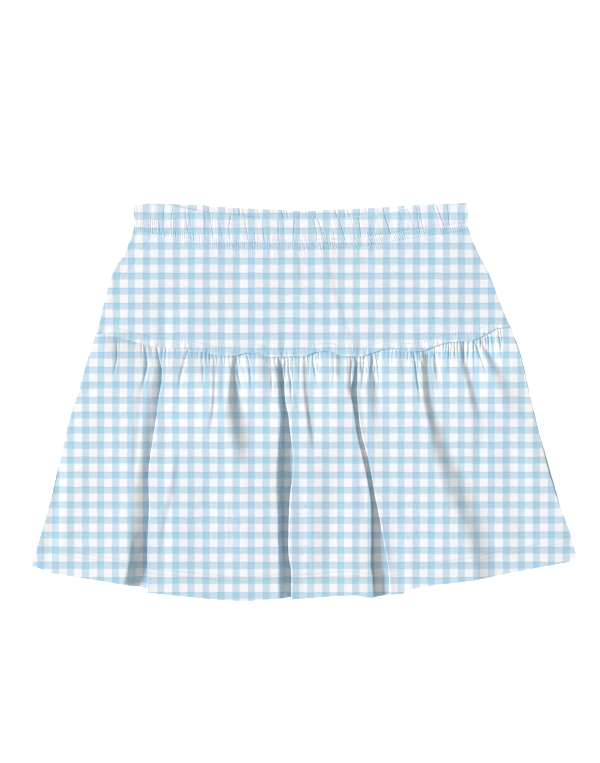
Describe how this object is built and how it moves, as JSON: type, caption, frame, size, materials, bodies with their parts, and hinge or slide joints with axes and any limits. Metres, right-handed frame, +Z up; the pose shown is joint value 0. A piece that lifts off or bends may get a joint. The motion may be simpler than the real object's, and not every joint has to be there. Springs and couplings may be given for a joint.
{
  "type": "gathered skort",
  "caption": "Pull-on gathered skort laid flat, front up: elastic waistband, fitted yoke, gathered tier with soft tucks and inner shorts, in pale blue and white gingham jersey.",
  "frame": {"origin": "on the surface the skort lies on, in the middle of its footprint", "axes": "+Z up through the front of the garment, +Y towards the waist, +X to the viewer's right"},
  "size_m": [0.4602, 0.3369, 0.0115],
  "materials": {
    "gingham_waistband": "pale blue and white gingham cotton jersey, gathered on elastic, matt",
    "gingham_yoke": "pale blue and white gingham cotton jersey, smooth, matt",
    "gingham_tier": "pale blue and white gingham cotton jersey, gathered and tucked, matt",
    "shorts_jersey": "plain white cotton jersey, matt"
  },
  "bodies": {
    "root": {"waistband_front": "gingham_waistband", "waistband_back": "gingham_waistband", "yoke_front": "gingham_yoke", "yoke_back": "gingham_yoke", "tier_front": "gingham_tier", "tier_back": "gingham_tier", "shorts_front_left": "shorts_jersey", "shorts_front_right": "shorts_jersey", "shorts_back_left": "shorts_jersey", "shorts_back_right": "shorts_jersey"}
  },
  "joints": []
}
